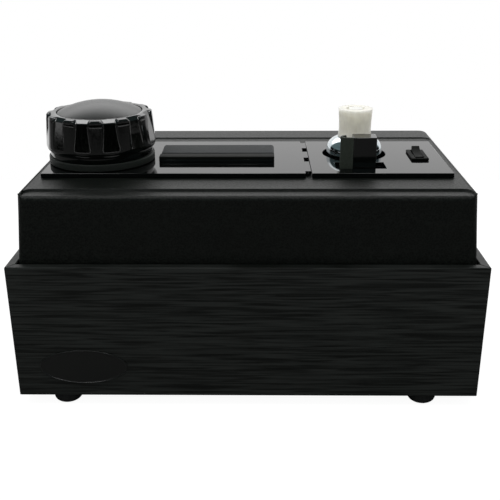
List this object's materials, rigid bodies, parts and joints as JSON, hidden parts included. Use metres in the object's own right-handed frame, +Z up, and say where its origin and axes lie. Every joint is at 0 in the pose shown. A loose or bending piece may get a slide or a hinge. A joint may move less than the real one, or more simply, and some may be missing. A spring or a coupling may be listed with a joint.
{
  "type": "record cleaning machine",
  "caption": "Table-top vacuum record cleaning machine: wood-grain cabinet, textured hood, lobed record cap, suction slot with velvet lip, sprung roller capstan, pull lever and rocker switch.",
  "frame": {"origin": "on the table under the middle of the cabinet, at the feet's bottoms", "axes": "+X to the user's right along the front, +Y towards the back, +Z up"},
  "size_m": [0.368, 0.2325, 0.2282],
  "materials": {
    "wood_vinyl": "board under black wood-grain vinyl film, satin",
    "board": "bare particle board",
    "rubber": "black moulded rubber, matt",
    "steel": "plain zinc-plated steel",
    "gloss_black": "polished black acrylic and phenolic",
    "textured_black": "vacuum-formed plastic with a pebbled grain",
    "matt_black": "moulded black plastic, matt",
    "velvet": "short-pile velvet",
    "cream_rubber": "smooth cream latex rubber",
    "bright_metal": "polished plate",
    "bronze": "plain sintered bronze",
    "aluminium": "pressed sheet",
    "white_plastic": "natural polythene"
  },
  "bodies": {
    "cabinet": {"front_panel": "wood_vinyl", "right_panel": "wood_vinyl", "back_panel": "wood_vinyl", "left_panel": "wood_vinyl", "bottom_panel": "board", "hood_cleat_left": "board", "hood_cleat_right": "board", "foot_front_left": "rubber", "foot_front_right": "rubber", "foot_back_left": "rubber", "foot_back_right": "rubber", "foot_screw_front_left": "steel", "foot_screw_front_right": "steel", "foot_screw_back_left": "steel", "foot_screw_back_right": "steel", "badge_plate": "gloss_black", "hood": "textured_black", "left_plate": "gloss_black", "right_plate": "gloss_black", "spindle_bush": "bronze", "suction_head": "gloss_black", "front_lip": "gloss_black", "rear_lip": "velvet", "suction_duct": "matt_black", "suction_hose": "rubber", "waste_tank": "white_plastic", "tank_lid": "white_plastic", "drain_tube": "matt_black", "fan_base": "matt_black", "fan_housing": "matt_black", "vacuum_motor": "steel", "exhaust_grille": "matt_black", "mains_inlet": "matt_black", "guide_rod_front": "steel", "guide_rod_rear": "steel", "rod_bracket_left": "steel", "rod_bracket_right": "steel", "return_spring": "steel", "switch_body": "matt_black", "inlet_lead": "rubber", "vacuum_lead": "rubber", "drive_lead": "rubber"},
    "turntable": {"spindle": "steel", "spindle_clip": "steel", "platter": "matt_black", "platter_mat": "rubber"},
    "cap": {"record_cap": "gloss_black", "cap_insert": "matt_black"},
    "carriage": {"carriage": "steel", "pull_lever": "matt_black", "drive_gearbox": "steel", "drive_motor": "steel"},
    "capstan": {"capstan_shaft": "steel", "capstan_dome": "bright_metal", "capstan_roller": "cream_rubber", "roller_nut": "white_plastic"},
    "rocker": {"rocker": "gloss_black"},
    "fan": {"vacuum_fan": "aluminium", "vacuum_shaft": "steel"},
    "plug": {"drain_plug": "rubber"}
  },
  "joints": [
    {"name": "platter_spin", "type": "hinge", "parent": "cabinet", "child": "turntable", "pos_m": [-0.1231, -0.0155, 0.179], "axis": [0, 0, 1], "continuous": true},
    {"name": "cap_lift", "type": "slide", "parent": "turntable", "child": "cap", "axis": [0, 0, 1], "range_m": [0, 0.03]},
    {"name": "carriage_slide", "type": "slide", "parent": "cabinet", "child": "carriage", "axis": [1, 0, 0], "range_m": [0, 0.003], "stiffness_N_per_m": 600, "springref_m": -0.005, "deforming": ["return_spring", "drive_lead"]},
    {"name": "capstan_spin", "type": "hinge", "parent": "carriage", "child": "capstan", "pos_m": [0.0909, 0.0026, 0.179], "axis": [0, 0, 1], "continuous": true},
    {"name": "rocker_tip", "type": "hinge", "parent": "cabinet", "child": "rocker", "pos_m": [0.1435, -0.00875, 0.17895], "axis": [1, 0, 0], "range_deg": [-18, 0]},
    {"name": "fan_spin", "type": "hinge", "parent": "cabinet", "child": "fan", "pos_m": [-0.105, 0.04, 0.1], "axis": [0, 0, 1], "continuous": true},
    {"name": "drain_plug_pull", "type": "slide", "parent": "cabinet", "child": "plug", "axis": [0, 1, 0], "range_m": [0, 0.014]}
  ]
}
